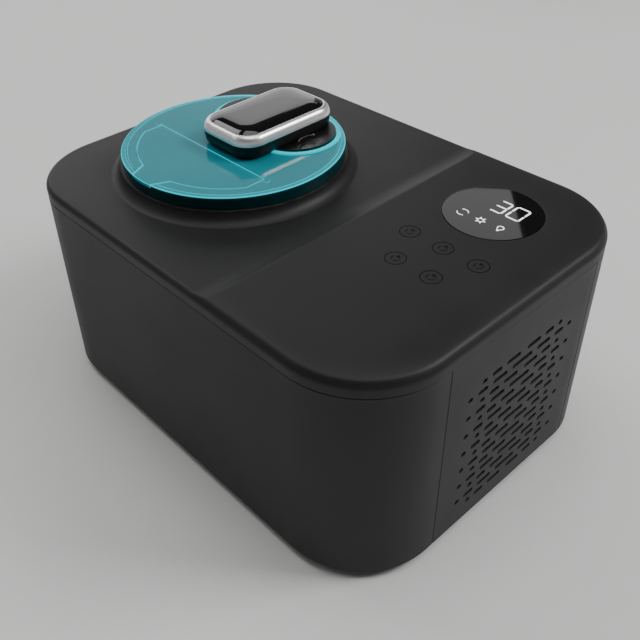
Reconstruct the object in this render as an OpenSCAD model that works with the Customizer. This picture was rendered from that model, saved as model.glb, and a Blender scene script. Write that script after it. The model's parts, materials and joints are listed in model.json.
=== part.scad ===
// Countertop ice cream maker with its own compressor. The bowl stands in a chilled well on the
// left, under a clear lid that carries the drive unit. The controls and the cooling machinery are
// on the right. +X is the right end, -Y the front, +Z up. The origin is on the table, in the middle.

/* [Body] */
// Width of the body, left to right
body_w = 400; // [392:1:420]
// Depth of the body, front to back
body_d = 292; // [288:1:310]
// Radius of the body's upright corners
corner_r = 67; // [60:1:72]
// Height of the left deck above the table
deck_z = 186; // [186:1:200]
// Height of the gap under the body
foot_gap = 7; // [6:0.5:9]
// Wall thickness of the plastic case
wall = 3; // [2.5:0.5:3.5]

/* [Top cover] */
// Height of the top cover's upright edge
lip_h = 11; // [8:1:14]
// Height of the raised control area above the deck
control_h = 3.5; // [2.5:0.5:5]
// Where the crest of the control area is, right of the middle
control_x = 56; // [50:1:62]
// Width of the hollow ramp that leads up to the crest
ramp_w = 17; // [10:1:22]
// Distance over which the control area rises from the body's edge
control_fall = 26; // [15:1:32]
// Height of the collar round the lid
collar_h = 9.5; // [8:0.5:12]

/* [Vent panel] */
// Middle of the vent panel, behind the body's middle
vent_y = 8; // [0:1:8]
// Width of the vent panel
vent_w = 160; // [140:1:160]
// Distance between the rows of slots
vent_pitch = 8.4; // [8:0.1:9]
// Height of a slot
slot_h = 3.4; // [2.5:0.1:4]

/* [Display] */
// Radius of the round window
window_r = 37; // [34:0.5:38]
// Height of the gloss window
window_t = 2; // [1.5:0.5:2.5]

/* [Lid] */
// Radius of the lid
lid_r = 91; // [90.5:0.1:91.5]
// Height of the lid above the collar
lid_h = 10.5; // [10:0.5:12]
// Radius of the filling flap's curved edge
flap_r = 78; // [74:1:79]
// Distance from the lid's centre to the flap's straight edge
flap_y = 24; // [23:0.5:26]

/* [Drive unit] */
// Width of the drive unit
block_w = 64; // [64:1:68]
// Length of the drive unit
block_l = 100; // [98:1:104]
// Height of the drive unit above the lid
block_h = 23.5; // [23:0.5:26]
// Corner radius of the drive unit
block_r = 18; // [12:1:18]

/* [Bowl] */
// Outer radius of the bowl
bowl_r = 80; // [79:0.5:80]
// Height of the bowl
bowl_h = 131; // [120:1:131]

/* [Hidden] */
$fn = 64;
e = 0.01;
body_z = foot_gap;
seam_z = deck_z - lip_h;
plate_z = deck_z - 3;
collar_z = deck_z + collar_h;
ledge_z = collar_z - 2.5;
lid_z = collar_z + lid_h;
control_z = deck_z + control_h;
// the bowl, well, lid and paddle share one axis
bowl_x = -78;
bowl_y = -10;
// opening through the collar, and the seat that the bowl's flange lies on
collar_in = 83;
seat_r = 87;
rim_r = 93;
// display and touch marks
window_x = 122;
window_y = 70;
touch_points = [[96, 8], [126, 8], [156, 8], [111, -24], [142, -24]];
touch_x = 126;
touch_y = -8;
board_t = 1.6;
// how far the boards hang under the cover's plate
board_drop = 4;
window_gap = 0.2;
window_ledge = 4;
// how much larger than its pipe a ball corner is
ball_extra = 0.08;
// room between a shaft and its hole
run_gap = 0.05;
panel_gap = 0.3;
// rows of slots: each entry is a slot's distance from the middle and its length
row_a = [[11.5, 15], [29.7, 10], [42.5, 4.6]];
row_b = [[24.7, 15], [43, 10], [56, 4.6]];
row_b_middle = 22.5;
vent_rows = 15;
vent_z = 84;
// grille of upright slots in the back
grille_x = 40;
grille_count = 12;
grille_pitch = 8;
grille_z = [54, 92];
grille_slot = [4, 30];
// places on the base tray
foot_x = 150;
foot_y = 96;
foot_r = 14;
foot_stem_r = 4;
screw_x = 95;
screw_y = body_d / 2 - wall - 5;
screw_r = 1.6;
boss_r = 6;
tray_z = 4;
floor_z = 7;
// gland for the mains lead, in the back
gland_x = 118;
gland_z = 38;
gland_r = 10;
gland_flange = 2;
cord_r = 3.5;
// compressor
comp_x = 78;
comp_y = -70;
comp_r = 50;
comp_foot = [38, 34];
comp_z = 17;
comp_h = 115;
comp_waist_z = comp_z + 62;
dome_r = 90;
grommet_r = 8;
grommet_neck_r = 5;
bolt_r = 2.5;
// condenser and fan
core_x = 171;
core_t = 18;
core_y = vent_y;
core_w = 132;
core_z = 24;
core_h = 124;
tube_r = 3;
tube_rows = 5;
tube_pitch = 25;
tube_z = core_z + 12;
tube_x = [core_x + 5, core_x + 13];
fan_x = 138;
fan_t = 24;
fan_z = core_z + core_h / 2;
fan_r = 51;
fan_side = 112;
fan_hub_r = 19;
fan_axle_r = 2;
fan_hole_r = 1.8;
fan_screw_r = 1.7;
shroud_t = 2;
shroud_l = 22;
// well and its coil
well_r = bowl_r + 2;
well_t = 1.5;
well_z = deck_z - 128;
coil_r = well_r + well_t + tube_r + 0.2;
coil_rings = 7;
coil_pitch = 16;
coil_z = well_z + 14;
coil_top_z = coil_z + (coil_rings - 1) * coil_pitch;
riser_r = 2;
foam_r = 97;
// small pipes and the drier
liquid_r = 2.5;
capillary_r = 1.2;
drier_x = 140;
drier_y = -100;
drier_r = 8;
drier_z = [80, 88, 138, 146];
// drive unit, and the gears between its motor and the paddle's shaft
block_x = -68;
block_y = 19;
lock_x = -75;
lock_y = 33;
lock_r = 33;
lock_half = 25;
lock_z = lid_z - 2;
lock_t = 5;
gear_z = lock_z + lock_t + 0.5;
gear_t = 3;
upper_gear_z = gear_z + gear_t + 0.6;
motor_z = upper_gear_z;
motor_x = -67;
idler_y = bowl_y + sqrt(pow(24, 2) - pow(motor_x - bowl_x, 2));
motor_y = idler_y + 25;
motor_r = 15;
motor_h = 11.5;
motor_ear = 20;
pinion_teeth = 12;
idler_teeth = 38;
idler_small_teeth = 16;
drive_teeth = 32;
// direction from the idler gear to the drive gear
mesh_angle = atan2(bowl_y - idler_y, bowl_x - motor_x);
pin_r = 1.5;
shaft_r = 5;
shaft_neck_r = 3.5;
shaft_square = 7;
housing_h = 12;
bezel_h = 8;
// flap hinge
hinge_y = flap_y + 1.5;
hinge_z = lid_z - 1.2;
hinge_r = 1;
// room in which the flap's rear edge turns
hinge_gap_r = 1.9;
flap_half = 66;
lid_t = 2.5;
// bowl handle
handle_r = 76;
handle_wire = 1.6;
bowl_t = 1.2;
bowl_floor = 1.5;
bowl_z = ledge_z + bowl_floor - bowl_h;
handle_z = ledge_z + 4.5;
// paddle
paddle_r = 74;
paddle_t = 4;
paddle_bar = 9;
paddle_post_r = 9;
paddle_low = bowl_z + 6;
// power contacts at the back of the collar
contact_spread = 5;
contact_at = lid_r - 1.25;
contact_r = 1.5;
lid_contact_r = 1;
// lid: its wall, the fit of the flap in its recess, and the ridge round the lock plate
lid_wall = 2.5;
flap_gap = 0.4;
flap_fit = 0.2;
flap_lip = 4;
lock_gap = 0.3;
lock_ridge = 4.2;

charcoal = "#36373a";
black = "#151617";
rubber = "#1f1f20";
metal = "#b9bcc0";
copper = "#b06a45";
brass = "#c8a24a";
board_green = "#1f5a3a";
cream = "#e9e2c8";
white = "#e8e8e6";
cyan = "#37b6cc";

// ---- shared shapes ----

// a rectangle with round corners
module rounded(w, d, r) {
    square([w - 2 * r, d], center = true);
    square([w, d - 2 * r], center = true);
    for (x = [-1, 1], y = [-1, 1])
        translate([x * (w / 2 - r), y * (d / 2 - r)]) circle(r);
}

// the body's outline, moved in from its outer face
module outline(inset = 0) rounded(body_w - 2 * inset, body_d - 2 * inset, corner_r - inset);

// the drive unit's outline, moved in from its outer face
module block(inset = 0) {
    translate([block_x, block_y])
        rounded(block_w - 2 * inset, block_l - 2 * inset, block_r - inset);
}

// a round bar along Z between two heights
module bar(r, z0, z1) translate([0, 0, z0]) cylinder(r = r, h = z1 - z0);

// an upright wall that follows the body's outline
module ring(out, in, z0, z1) {
    translate([0, 0, z0]) linear_extrude(z1 - z0) difference() {
        outline(out);
        outline(in);
    }
}

// puts its children on the axis of the bowl
module at_bowl() translate([bowl_x, bowl_y, 0]) children();

module mirror_x() {
    children();
    mirror([1, 0, 0]) children();
}

// a round pipe through a list of points, with ball corners
module pipe(points, r) {
    for (i = [1 : len(points) - 1]) {
        a = points[i - 1];
        d = points[i] - a;
        length = norm(d);
        translate(a)
            rotate([0, acos(d.z / length), atan2(d.y, d.x)])
                cylinder(r = r, h = length);
        if (i < len(points) - 1) translate(points[i]) sphere(r + ball_extra);
    }
}

// where the four screws of the fan are, seen along X
module at_fan_corners() {
    for (y = [-1, 1], z = [-1, 1])
        translate([0, core_y + y * (fan_side / 2 - 6), fan_z + z * (fan_side / 2 - 6)])
            rotate([0, 90, 0]) children();
}

module at_feet() for (x = [-1, 1], y = [-1, 1]) translate([x * foot_x, y * foot_y, 0]) children();

module at_screws() {
    for (x = [-1, 1], y = [-1, 1]) translate([x * screw_x, y * screw_y, 0]) children();
}

module at_comp_feet() {
    for (x = [-1, 1], y = [-1, 1])
        translate([comp_x + x * comp_foot.x, comp_y + y * comp_foot.y, 0]) children();
}

// ---- body ----

module feet() {
    color(rubber) at_feet() {
        bar(foot_r, 0, tray_z);
        bar(foot_stem_r, tray_z - e, floor_z + e);
        bar(foot_stem_r + 2, floor_z, floor_z + 2);
    }
}

module base_tray() {
    color(black) difference() {
        union() {
            translate([0, 0, tray_z]) linear_extrude(floor_z - tray_z) outline(wall + 2);
            ring(wall + 0.4, wall + 3.4, tray_z + 1, 22);
            at_comp_feet() bar(boss_r, floor_z - e, 12);
        }
        at_feet() bar(foot_stem_r, 0, 10);
        at_screws() {
            bar(screw_r + 0.5, 0, 10);
            bar(3.8, 0, tray_z + 1.5);
            bar(boss_r + 0.4, floor_z, 30);
        }
        at_comp_feet() bar(bolt_r + 0.1, 0, 20);
    }
}

module body_screws() {
    color(metal) at_screws() {
        bar(3.6, tray_z, tray_z + 1.5);
        bar(screw_r, tray_z + 1, 26);
    }
}

// part of the plane behind the vent panel's two upright edges
module ledge_band(out, in, y0, y1) {
    intersection() {
        ring(out, in, body_z + 20, seam_z - 8);
        translate([body_w / 2 - 45, y0, 0]) cube([50, y1 - y0, deck_z]);
    }
}

module body_shell() {
    front = vent_y - vent_w / 2;
    back = vent_y + vent_w / 2;
    color(charcoal) difference() {
        union() {
            difference() {
                ring(0, wall, body_z, seam_z);
                translate([body_w / 2 - 45, front, 0]) cube([50, vent_w, deck_z]);
            }
            ledge_band(wall - 0.5, wall + 2.5, front - 12, front);
            ledge_band(wall + 0.3, wall + 2.5, front - e, front + 6);
            ledge_band(wall - 0.5, wall + 2.5, back, back + 10);
            ledge_band(wall + 0.3, wall + 2.5, back - 6, back + e);
            at_screws() bar(boss_r, floor_z, 40);
        }
        at_screws() bar(screw_r, 0, 32);
        for (i = [0 : grille_count - 1], z = grille_z)
            translate([grille_x + i * grille_pitch, body_d / 2 - wall - 1, z])
                cube([grille_slot[0], wall + 2, grille_slot[1]]);
        translate([gland_x, body_d / 2 + 1, gland_z]) rotate([90, 0, 0])
            cylinder(r = gland_r, h = wall + 2);
    }
}

// one slot with round ends, flat on the XY plane
module slot(length) {
    square([max(length - slot_h, e), slot_h], center = true);
    for (x = [-1, 1]) translate([x * max(length - slot_h, 0) / 2, 0]) circle(slot_h / 2);
}

module slots() {
    for (row = [0 : vent_rows - 1]) {
        even = row % 2 == 0;
        slots = even ? row_a : row_b;
        translate([0, (row - (vent_rows - 1) / 2) * vent_pitch]) {
            for (s = slots, side = [-1, 1]) translate([side * s[0], 0]) slot(s[1]);
            if (!even) slot(row_b_middle);
        }
    }
}

module vent_panel() {
    color(charcoal) difference() {
        intersection() {
            ring(0, wall, body_z, seam_z);
            translate([body_w / 2 - 45, vent_y - vent_w / 2 + panel_gap, 0])
                cube([50, vent_w - 2 * panel_gap, deck_z]);
        }
        translate([body_w / 2 - wall - 1, vent_y, vent_z])
            rotate([90, 0, 90]) linear_extrude(wall + 2) slots();
    }
}

module cord_gland() {
    color(rubber) translate([gland_x, body_d / 2, gland_z]) rotate([90, 0, 0]) difference() {
        union() {
            cylinder(r = gland_r, h = wall);
            translate([0, 0, wall]) cylinder(r = gland_r + gland_flange, h = 4);
        }
        translate([0, 0, -1]) cylinder(r = cord_r, h = 10);
    }
}

// the raised control area: a pillow that falls to the body's edge, with a hollow ramp on its left
module control_area() {
    steps = 7;
    ramp_r = (pow(ramp_w, 2) + pow(control_h, 2)) / (2 * control_h);
    intersection() {
        hull() for (i = [0 : steps]) {
            t = i / steps;
            translate([0, 0, deck_z - 1 + t * (control_h + 1)])
                linear_extrude(e) intersection() {
                    outline(control_fall * (1 - sqrt(1 - pow(t, 2))) + 0.5);
                    translate([20, -body_d]) square([body_w, 2 * body_d]);
                }
        }
        translate([0, body_d, 0]) rotate([90, 0, 0]) linear_extrude(2 * body_d) difference() {
            translate([control_x - ramp_w, deck_z - 1]) square([body_w, control_h + 2]);
            translate([control_x - ramp_w, deck_z + ramp_r]) circle(ramp_r, $fn = 200);
        }
    }
}

module top_cover() {
    posts = [[36, 36], [124, 30], [36, 119], [124, 119]];
    color(charcoal) difference() {
        union() {
            ring(0, wall, seam_z, plate_z + e);
            ring(wall + 0.3, wall + 2, seam_z - 4, plate_z + e);
            translate([0, 0, plate_z]) linear_extrude(deck_z - plate_z) outline();
            control_area();
            at_bowl() rotate_extrude($fn = 128) difference() {
                translate([collar_in - 1, plate_z]) square([rim_r + 9.5 - collar_in, collar_z - plate_z]);
                translate([rim_r + 10.5, collar_z + 1]) circle(10.7);
            }
            for (p = posts) translate([p.x, p.y, 0]) bar(3.5, seam_z - 23.4, plate_z + e);
        }
        at_bowl() {
            bar(collar_in, seam_z, lid_z);
            bar(seat_r, ledge_z, lid_z);
            for (x = [-1, 1])
                translate([x * contact_spread, contact_at, 0]) bar(contact_r, plate_z + 3, lid_z);
        }
        translate([window_x, window_y, 0]) {
            bar(window_r + window_gap, control_z - window_t, lid_z);
            bar(window_r - window_ledge, seam_z, lid_z);
        }
    }
}

module display_window() {
    color(black) translate([window_x, window_y, 0])
        bar(window_r, control_z - window_t, control_z);
}

module display_board() {
    translate([window_x, window_y, plate_z - board_drop]) {
        color(board_green) translate([-31, -31, 0]) cube([62, 62, board_t]);
        color(black) translate([-24, -22, board_t]) cube([48, 44, 6.4]);
        color(metal) for (x = [-1, 1]) translate([x * 27, 26, board_t]) cylinder(r = 2, h = 2.4);
    }
}

module touch_board() {
    color(board_green) translate([touch_x - 42, touch_y - 28, plate_z - board_drop])
        cube([84, 56, board_t]);
    color(metal) for (p = touch_points) translate([p.x, p.y, 0])
        bar(5, plate_z - board_drop + board_t - e, plate_z);
}

module power_board() {
    z = seam_z - 25;
    color(board_green) translate([30, 24, z]) cube([102, 102, board_t]);
    color(black) {
        translate([40, 86, z - 24]) cube([34, 30, 24 + e]);
        translate([92, 92, z - 18]) cube([22, 18, 18 + e]);
        for (x = [48, 68]) translate([x, 62, z - 22]) cylinder(r = 8, h = 22 + e);
    }
    color(metal) for (i = [0 : 4]) translate([86 + i * 7, 42, z - 20]) cube([2, 34, 20 + e]);
}

module power_contacts() {
    color(brass) at_bowl() for (x = [-1, 1])
        translate([x * contact_spread, contact_at, 0]) bar(contact_r, plate_z + 3, collar_z);
}

// ---- cooling ----

module cooling_well() {
    color(metal) at_bowl() rotate_extrude($fn = 128) {
        translate([0, well_z]) square([well_r + well_t, 2]);
        translate([well_r, well_z]) square([well_t, plate_z - 1 - well_z]);
        translate([well_r, plate_z - 2.5]) square([12, 1.5]);
    }
}

module well_seal() {
    color(rubber) at_bowl() difference() {
        bar(well_r + 11, plate_z - 1, plate_z);
        bar(well_r + 3, plate_z - 2, plate_z + 1);
    }
}

module evaporator_coil() {
    color(copper) at_bowl() {
        for (i = [0 : coil_rings - 1])
            translate([0, 0, coil_z + i * coil_pitch])
                rotate_extrude() translate([coil_r, 0]) circle(tube_r, $fn = 24);
        translate([coil_r, 0, 0]) bar(riser_r, coil_z, coil_top_z);
    }
}

module foam_jacket() {
    color(cream) at_bowl() difference() {
        bar(foam_r, floor_z + e, plate_z - 2.7);
        bar(coil_r + tube_r + 0.2, well_z, plate_z);
        translate([coil_r, 0, coil_z]) rotate([0, 90, 0]) cylinder(r = 2, h = 30);
        translate([coil_r, 0, coil_top_z]) rotate([0, 90, 0]) cylinder(r = tube_r + 1.5, h = 30);
    }
}

module compressor() {
    color(black) translate([comp_x, comp_y, 0]) {
        rotate_extrude($fn = 128) intersection() {
            translate([0, comp_z + 3]) square([comp_r, comp_h - 3]);
            translate([comp_r - dome_r, comp_waist_z - 3]) circle(dome_r, $fn = 200);
        }
        bar(comp_r + 1.5, comp_waist_z - 4, comp_waist_z + 2);
        difference() {
            translate([-48, -44, comp_z]) cube([96, 88, 3 + e]);
            translate([-comp_x, -comp_y, 0]) at_comp_feet() bar(grommet_neck_r, 0, 30);
        }
        translate([-comp_r - 6, -16, comp_waist_z - 26]) cube([16, 32, 34]);
    }
}

module compressor_grommets() {
    color(rubber) at_comp_feet() difference() {
        union() {
            bar(grommet_r, 12, comp_z);
            bar(grommet_neck_r, comp_z - e, comp_z + 3 + e);
            bar(grommet_r, comp_z + 3, comp_z + 6);
        }
        bar(bolt_r + 0.1, 0, 40);
    }
}

module compressor_bolts() {
    color(metal) at_comp_feet() {
        bar(bolt_r, tray_z + 1, comp_z + 9);
        translate([0, 0, comp_z + 6]) cylinder(r = 5, h = 4, $fn = 6);
    }
}

module condenser_fins() {
    fins = 27;
    color(metal) for (i = [0 : fins - 1])
        translate([0, core_y - core_w / 2 + i * (core_w - 1) / (fins - 1) + 1, 0])
            rotate([90, 0, 0]) linear_extrude(1) difference() {
                translate([core_x, core_z]) square([core_t, core_h]);
                for (x = tube_x, row = [0 : tube_rows - 1])
                    translate([x, tube_z + row * tube_pitch]) circle(tube_r);
            }
}

// a half turn of pipe that joins two tubes, on one side of the core
module u_bend(r, side) {
    rotate([0, 0, side > 0 ? 0 : 180]) rotate_extrude(angle = 180) translate([r, 0]) circle(tube_r);
}

module condenser_tube() {
    half = core_w / 2;
    color(copper) {
        for (x = tube_x, row = [0 : tube_rows - 1])
            translate([x, core_y - half, tube_z + row * tube_pitch])
                rotate([-90, 0, 0]) cylinder(r = tube_r, h = core_w);
        for (x = tube_x, row = [0 : tube_rows - 2]) {
            side = row % 2 == 0 ? 1 : -1;
            translate([x, core_y + side * half, tube_z + (row + 0.5) * tube_pitch])
                rotate([0, -90, 0]) u_bend(tube_pitch / 2, side);
        }
        translate([core_x + 9, core_y + half, tube_z + (tube_rows - 1) * tube_pitch]) u_bend(4, 1);
    }
}

module fan_shroud() {
    x0 = fan_x + fan_t;
    color(black) difference() {
        union() {
            translate([x0, core_y - core_w / 2 - 2, core_z - 3])
                cube([shroud_t, core_w + 4, core_h + 6]);
            for (z = [core_z - 3, core_z + core_h + 0.2])
                translate([x0, core_y - core_w / 2 + 4, z]) cube([shroud_l, core_w - 8, 2.8]);
            for (y = [-1, 1]) translate([x0, core_y + y * 50 - 6, floor_z])
                cube([shroud_l, 12, core_z - floor_z - 2]);
        }
        translate([x0 - 1, core_y, fan_z]) rotate([0, 90, 0]) cylinder(r = fan_r + 2, h = 4);
        translate([x0 - 1, 0, 0]) at_fan_corners() cylinder(r = fan_hole_r, h = 4);
    }
}

module fan_frame() {
    color(black) difference() {
        union() {
            difference() {
                translate([fan_x, core_y - fan_side / 2, fan_z - fan_side / 2])
                    cube([fan_t, fan_side, fan_side]);
                translate([fan_x - 1, core_y, fan_z]) rotate([0, 90, 0])
                    cylinder(r = fan_r + 2, h = fan_t + 2);
            }
            translate([fan_x + fan_t - 4, core_y, fan_z]) rotate([0, 90, 0]) {
                cylinder(r = 20, h = 4);
                for (a = [45 : 90 : 315]) rotate([0, 0, a]) translate([18, -3, 0]) cube([fan_r - 14, 6, 4]);
            }
        }
        translate([fan_x - 1, 0, 0]) at_fan_corners() cylinder(r = fan_hole_r, h = fan_t + 2);
        translate([fan_x, core_y, fan_z]) rotate([0, 90, 0])
            cylinder(r = fan_axle_r + run_gap, h = fan_t + 1);
    }
}

module fan_screws() {
    color(metal) translate([fan_x, 0, 0]) at_fan_corners() {
        translate([0, 0, -2]) cylinder(r = 2 * fan_screw_r, h = 2);
        translate([0, 0, -e]) cylinder(r = fan_screw_r, h = fan_t + 3);
    }
}

module fan_rotor() {
    blades = 7;
    color(charcoal) translate([fan_x + 2, core_y, fan_z]) rotate([0, 90, 0]) {
        cylinder(r = fan_hub_r, h = 15);
        cylinder(r = fan_axle_r, h = fan_t - 2);
        for (i = [0 : blades - 1]) rotate([0, 0, i * 360 / blades])
            translate([fan_hub_r - 2, 0, 7.5]) rotate([35, 0, 0])
                translate([0, -9, -1]) cube([fan_r - fan_hub_r + 1, 18, 2]);
    }
}

module discharge_line() {
    side = comp_r * sqrt(0.5) - 1;
    color(copper) pipe([[comp_x + side, comp_y - side, 60], [comp_x + side + 10, comp_y - side - 10, 60],
        [150, -114, 60], [tube_x[0], -98, tube_z], [tube_x[0], core_y - core_w / 2, tube_z]], tube_r);
}

module liquid_line() {
    color(copper) pipe([[tube_x[1], core_y - core_w / 2, tube_z], [tube_x[1], -82, tube_z],
        [tube_x[1], -82, 152], [drier_x, drier_y, 152], [drier_x, drier_y, drier_z[3]]], liquid_r);
}

module filter_drier() {
    color(copper) translate([drier_x, drier_y, 0]) {
        bar(drier_r, drier_z[1], drier_z[2]);
        translate([0, 0, drier_z[2]]) cylinder(r1 = drier_r, r2 = 3, h = drier_z[3] - drier_z[2]);
        translate([0, 0, drier_z[0]]) cylinder(r1 = 1.5, r2 = drier_r, h = drier_z[1] - drier_z[0]);
    }
}

module capillary_tube() {
    color(copper) pipe([[drier_x, drier_y, drier_z[0]], [drier_x, drier_y, 70], [136, -54, 70],
        [120, -6, 70], [60, 0, 70], [30, bowl_y, coil_z],
        [bowl_x + coil_r + tube_r, bowl_y, coil_z]], capillary_r);
}

module suction_line() {
    side = comp_r * sqrt(0.5) - 1;
    color(copper) pipe([[bowl_x + coil_r + tube_r - 1, bowl_y, coil_top_z], [34, bowl_y, coil_top_z],
        [34, -26, 100], [comp_x - side, comp_y + side, 92]], tube_r);
}

// ---- bowl ----

module bowl() {
    color(metal) at_bowl() difference() {
        union() {
            rotate_extrude($fn = 128) {
                translate([0, bowl_z]) square([bowl_r, bowl_floor]);
                translate([bowl_r - bowl_t, bowl_z]) square([bowl_t, bowl_h]);
                translate([bowl_r - bowl_t, ledge_z]) square([bowl_t + 6.5, bowl_floor]);
            }
            bar(5, bowl_z, bowl_z + 12);
            mirror_x() translate([bowl_r - 1, -4, ledge_z]) cube([2.5, 8, 7.5]);
        }
        translate([-bowl_r - 3, 0, handle_z]) rotate([0, 90, 0])
            cylinder(r = handle_wire + run_gap, h = 2 * bowl_r + 6);
    }
}

module bowl_handle() {
    color(metal) at_bowl() translate([0, 0, handle_z]) {
        rotate_extrude(angle = 180) translate([handle_r, 0]) circle(handle_wire, $fn = 32);
        mirror_x() {
            translate([handle_r, 0, 0]) sphere(handle_wire + ball_extra);
            translate([handle_r, 0, 0]) rotate([0, 90, 0])
                cylinder(r = handle_wire, h = bowl_r + 2 - handle_r);
        }
    }
}

// a flat arm of the paddle, across its axis from x0, at a height above its foot
module arm(x0, height, width, tall) {
    translate([x0, -paddle_t / 2, paddle_low + height]) cube([width, paddle_t, tall]);
}

module paddle() {
    socket = shaft_square + 0.4;
    color(white) at_bowl() difference() {
        union() {
            bar(paddle_post_r, paddle_low, ledge_z + 1.8);
            arm(-paddle_r, 0, 2 * paddle_r, paddle_bar);
            arm(-paddle_r, 0, 12, 104);
            arm(40, 0, 10, 88);
            arm(-paddle_r, 104 - paddle_bar, paddle_r, paddle_bar);
            arm(0, 88 - paddle_bar, 50, paddle_bar);
            for (z = [30, 54]) translate([-64, -1.5, paddle_low + z]) rotate([0, 12, 0]) cube([58, 3, 7]);
        }
        bar(5.3, paddle_low - 1, bowl_z + 13);
        translate([-socket / 2, -socket / 2, ledge_z - 10]) cube([socket, socket, 20]);
    }
}

// ---- lid ----

// the flap's outline round the lid's centre, moved out by grow
module flap_shape(grow = 0) {
    intersection() {
        circle(flap_r + grow, $fn = 128);
        translate([-flap_half - grow, -100]) square([2 * (flap_half + grow), 100 - flap_y + grow]);
    }
}

module tab_shape(grow = 0) {
    intersection() {
        circle(lid_r, $fn = 128);
        polygon([[-19 - grow, 4 - flap_r], [19 + grow, 4 - flap_r], [10 + grow, -lid_r - 2],
            [-10 - grow, -lid_r - 2]]);
    }
}

// the long round outline of the lock plate, in the lid's plane
module lock_shape(grow = 0) {
    translate([lock_x, lock_y]) {
        square([2 * lock_half, 2 * (lock_r + grow)], center = true);
        for (x = [-1, 1]) translate([x * lock_half, 0]) circle(lock_r + grow);
    }
}

module lid() {
    top = lid_z - lid_t;
    recess = lid_z - 2.2;
    color(cyan) difference() {
        union() {
            at_bowl() rotate_extrude($fn = 128) {
                translate([0, top]) square([lid_r, lid_t]);
                translate([lid_r - lid_wall, collar_z]) square([lid_wall, lid_h]);
                translate([84, collar_z - 0.7]) square([2.4, top - collar_z + 1]);
            }
            at_bowl() translate([0, 0, top - 2.5]) linear_extrude(2.6) flap_shape(3);
            at_bowl() bar(9, top - 6, top + e);
            translate([0, 0, top - 2]) linear_extrude(2.2) lock_shape(2.5);
            translate([0, 0, lid_z - e]) linear_extrude(1.4) difference() {
                lock_shape(lock_ridge);
                lock_shape(0.5);
            }
        }
        at_bowl() {
            translate([0, 0, recess]) linear_extrude(5) {
                flap_shape(flap_gap);
                tab_shape(flap_gap);
            }
            translate([0, 0, top - 4]) linear_extrude(10) intersection() {
                circle(flap_r - flap_lip);
                translate([-flap_half + flap_lip, -100])
                    square([2 * (flap_half - flap_lip), 100 - flap_y + flap_gap]);
            }
            mirror_x() translate([flap_half - 1, -hinge_y, hinge_z]) rotate([0, 90, 0])
                cylinder(r = hinge_r + run_gap, h = 6);
            translate([-flap_half - flap_gap, -hinge_y, hinge_z]) rotate([0, 90, 0])
                cylinder(r = hinge_gap_r, h = 2 * (flap_half + flap_gap));
            bar(6, top - 10, lid_z + 5);
            for (x = [-1, 1]) translate([x * contact_spread, contact_at, 0])
                bar(lid_contact_r, collar_z - 1, collar_z + 6);
        }
        translate([0, 0, lock_z]) linear_extrude(5) lock_shape(lock_gap);
    }
}

module lid_contacts() {
    color(brass) at_bowl() for (x = [-1, 1])
        translate([x * contact_spread, contact_at, 0]) bar(lid_contact_r, collar_z, collar_z + 6);
}

module flap() {
    color(cyan) at_bowl() difference() {
        translate([0, 0, lid_z - 2.1]) linear_extrude(2.1) {
            flap_shape(-flap_fit);
            tab_shape(-flap_fit);
        }
        mirror_x() translate([flap_half - 6, -hinge_y, hinge_z]) rotate([0, 90, 0])
            cylinder(r = hinge_r, h = 10);
    }
}

module flap_pins() {
    color(metal) at_bowl() mirror_x() translate([flap_half - 6, -hinge_y, hinge_z])
        rotate([0, 90, 0]) cylinder(r = hinge_r, h = 10.6);
}

// ---- drive unit ----

module lock_plate() {
    color(black) difference() {
        union() {
            translate([0, 0, lock_z]) linear_extrude(lock_t) lock_shape();
            for (x = [-1, 1]) translate([motor_x + x * motor_ear, motor_y, 0])
                bar(3, lock_z + lock_t - e, motor_z);
        }
        translate([motor_x, idler_y, 0]) bar(pin_r, lock_z + 1, lid_z + 10);
        for (x = [-1, 1]) translate([motor_x + x * motor_ear, motor_y, 0]) bar(1.2, lock_z + 2, lid_z + 20);
    }
}

// the drive unit's lower half as a block that narrows to its foot
module housing_block(inset, z0) {
    hull() {
        translate([0, 0, z0]) linear_extrude(e) block(inset + 4);
        translate([0, 0, lid_z + 4]) linear_extrude(e) block(inset + 1);
        translate([0, 0, lid_z + 9]) linear_extrude(housing_h - 9) block(inset);
    }
}

module motor_housing() {
    color(black) difference() {
        housing_block(0, lid_z);
        housing_block(2.2, lid_z + 2);
        translate([0, 0, lid_z + housing_h - e]) linear_extrude(5) block(2.2);
        translate([0, 0, lock_z - 1]) linear_extrude(lock_t + 1) lock_shape();
        translate([0, 0, lock_z]) linear_extrude(4) lock_shape(lock_ridge + 0.4);
        at_bowl() bar(shaft_r + run_gap, 0, lid_z + 5);
    }
}

module motor_bezel() {
    z0 = lid_z + housing_h;
    color(metal) difference() {
        translate([0, 0, z0]) linear_extrude(bezel_h) block();
        translate([0, 0, z0 - 1]) linear_extrude(bezel_h - 1) block(2.2);
        translate([0, 0, z0 - 1]) linear_extrude(bezel_h + 2) block(5);
    }
}

// the domed top: each layer is a little smaller than the one below
module dome(inset, z0, rise) {
    hull() for (step = [[0, 0], [0.6, 0.45], [3, 0.78], [8, 0.93], [16, 1]])
        translate([0, 0, z0 + rise * step[1]]) linear_extrude(e) block(inset + step[0], $fn = 32);
}

module motor_cover() {
    z0 = lid_z + housing_h + bezel_h;
    rise = block_h - housing_h - bezel_h - e;
    color(black) difference() {
        dome(3, z0, rise);
        translate([0, 0, -1.8]) dome(5, z0, rise);
    }
}

module drive_motor() {
    color(metal) translate([motor_x, motor_y, 0]) difference() {
        union() {
            bar(motor_r, motor_z, motor_z + motor_h);
            translate([-motor_ear - 3, -3, motor_z]) cube([2 * motor_ear + 6, 6, 1.5]);
        }
        for (x = [-1, 1]) translate([x * motor_ear, 0, 0]) bar(1.3, motor_z - 1, motor_z + 3);
        bar(1.6, motor_z - 1, motor_z + 6);
    }
}

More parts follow.
